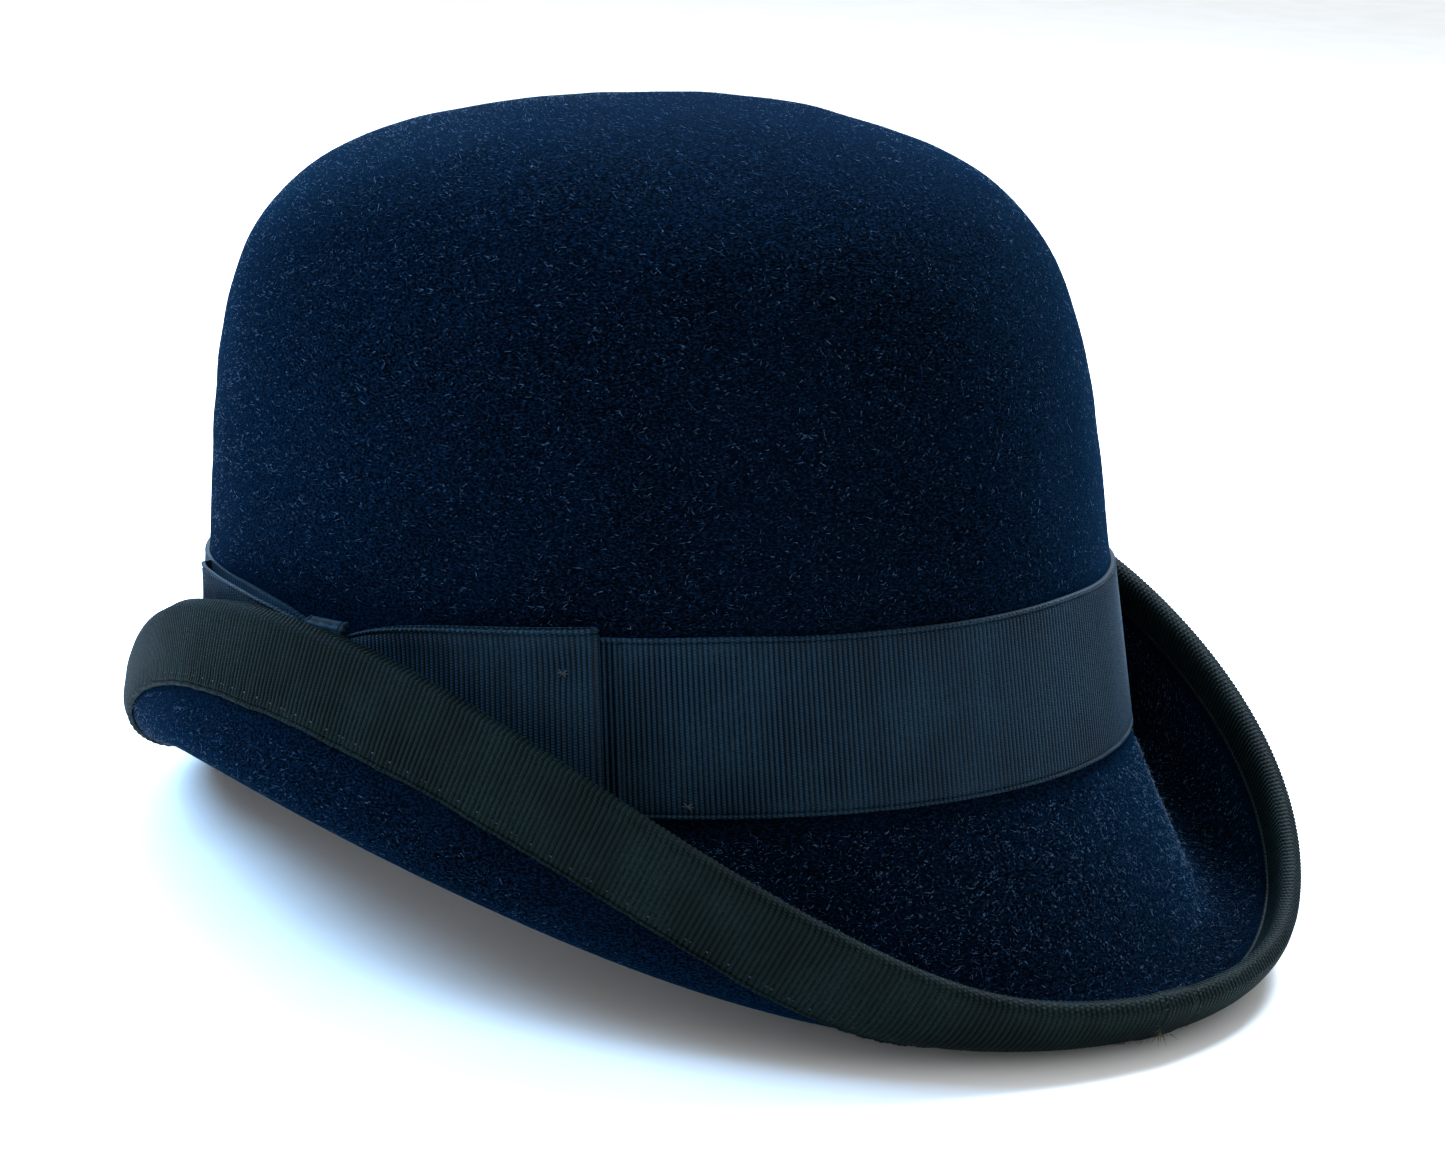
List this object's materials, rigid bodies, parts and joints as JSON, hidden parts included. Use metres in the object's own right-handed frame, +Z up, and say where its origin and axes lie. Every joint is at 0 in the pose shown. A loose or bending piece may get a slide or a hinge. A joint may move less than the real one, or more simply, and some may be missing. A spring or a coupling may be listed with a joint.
{
  "type": "bowler hat",
  "caption": "Velour felt bowler hat with a grosgrain band and flat bow, a bound brim curled high at the sides, a leather sweatband and a satin lining.",
  "frame": {"origin": "middle of the rectangle the hat covers, at the level it stands on", "axes": "+X to the wearer's left, -Y to the front, +Z up"},
  "size_m": [0.2232, 0.284, 0.1647],
  "materials": {
    "velour_felt": "brushed velour",
    "grosgrain": "ribbed",
    "binding_grosgrain": "ribbed",
    "thread": "matt",
    "sweat_leather": "satin",
    "reed_plastic": "gloss",
    "cotton_tape": "matt",
    "small_bow_ribbon": "satin",
    "lining_satin": "satin",
    "piping_cord": "satin",
    "label_paper": "matt"
  },
  "bodies": {
    "root": {"felt_body": "velour_felt", "hat_band": "grosgrain", "band_lap": "grosgrain", "bow_rear_wing": "grosgrain", "bow_front_wing": "grosgrain", "bow_knot": "grosgrain", "band_tacks": "thread", "brim_binding": "binding_grosgrain", "brim_binding_stitching": "thread", "binding_join": "binding_grosgrain", "sweatband": "sweat_leather", "sweatband_reed": "reed_plastic", "reed_tape": "cotton_tape", "sweatband_stitching": "thread", "sweatband_bow": "small_bow_ribbon", "lining_side": "lining_satin", "lining_tip": "lining_satin", "lining_piping": "piping_cord", "size_tab": "label_paper"}
  },
  "joints": []
}
